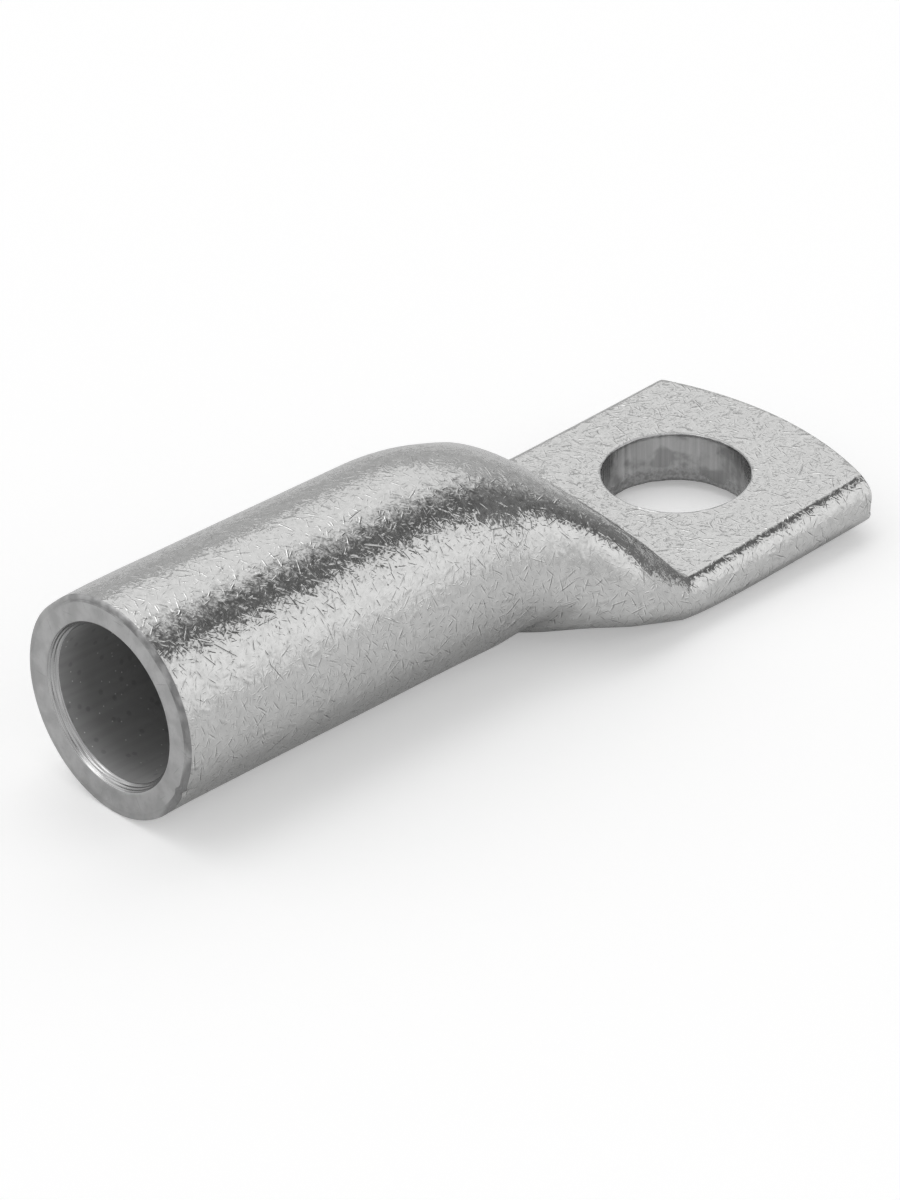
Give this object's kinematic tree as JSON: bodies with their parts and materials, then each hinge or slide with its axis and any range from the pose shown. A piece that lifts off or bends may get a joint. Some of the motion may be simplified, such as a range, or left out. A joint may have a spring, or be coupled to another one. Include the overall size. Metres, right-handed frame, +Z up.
{
  "type": "ring terminal",
  "caption": "Tinned tubular ring terminal: a round barrel to crimp on a stranded cable, with one end pressed flat to a palm with a stud hole.",
  "frame": {"origin": "centre of the barrel's mouth, on the barrel's axis", "axes": "+X runs along the barrel from the mouth to the palm's tip, +Z is up, square to the palm's width, and the palm's heel and the barrel's underside are both at the lowest Z; Y is across the palm, and the part is the same on both sides of Y = 0"},
  "size_m": [0.0786, 0.0268, 0.019],
  "materials": {
    "tinned_copper": "satin tin plating over copper, finely scratched"
  },
  "bodies": {
    "root": {"terminal_body": "tinned_copper"}
  },
  "joints": []
}
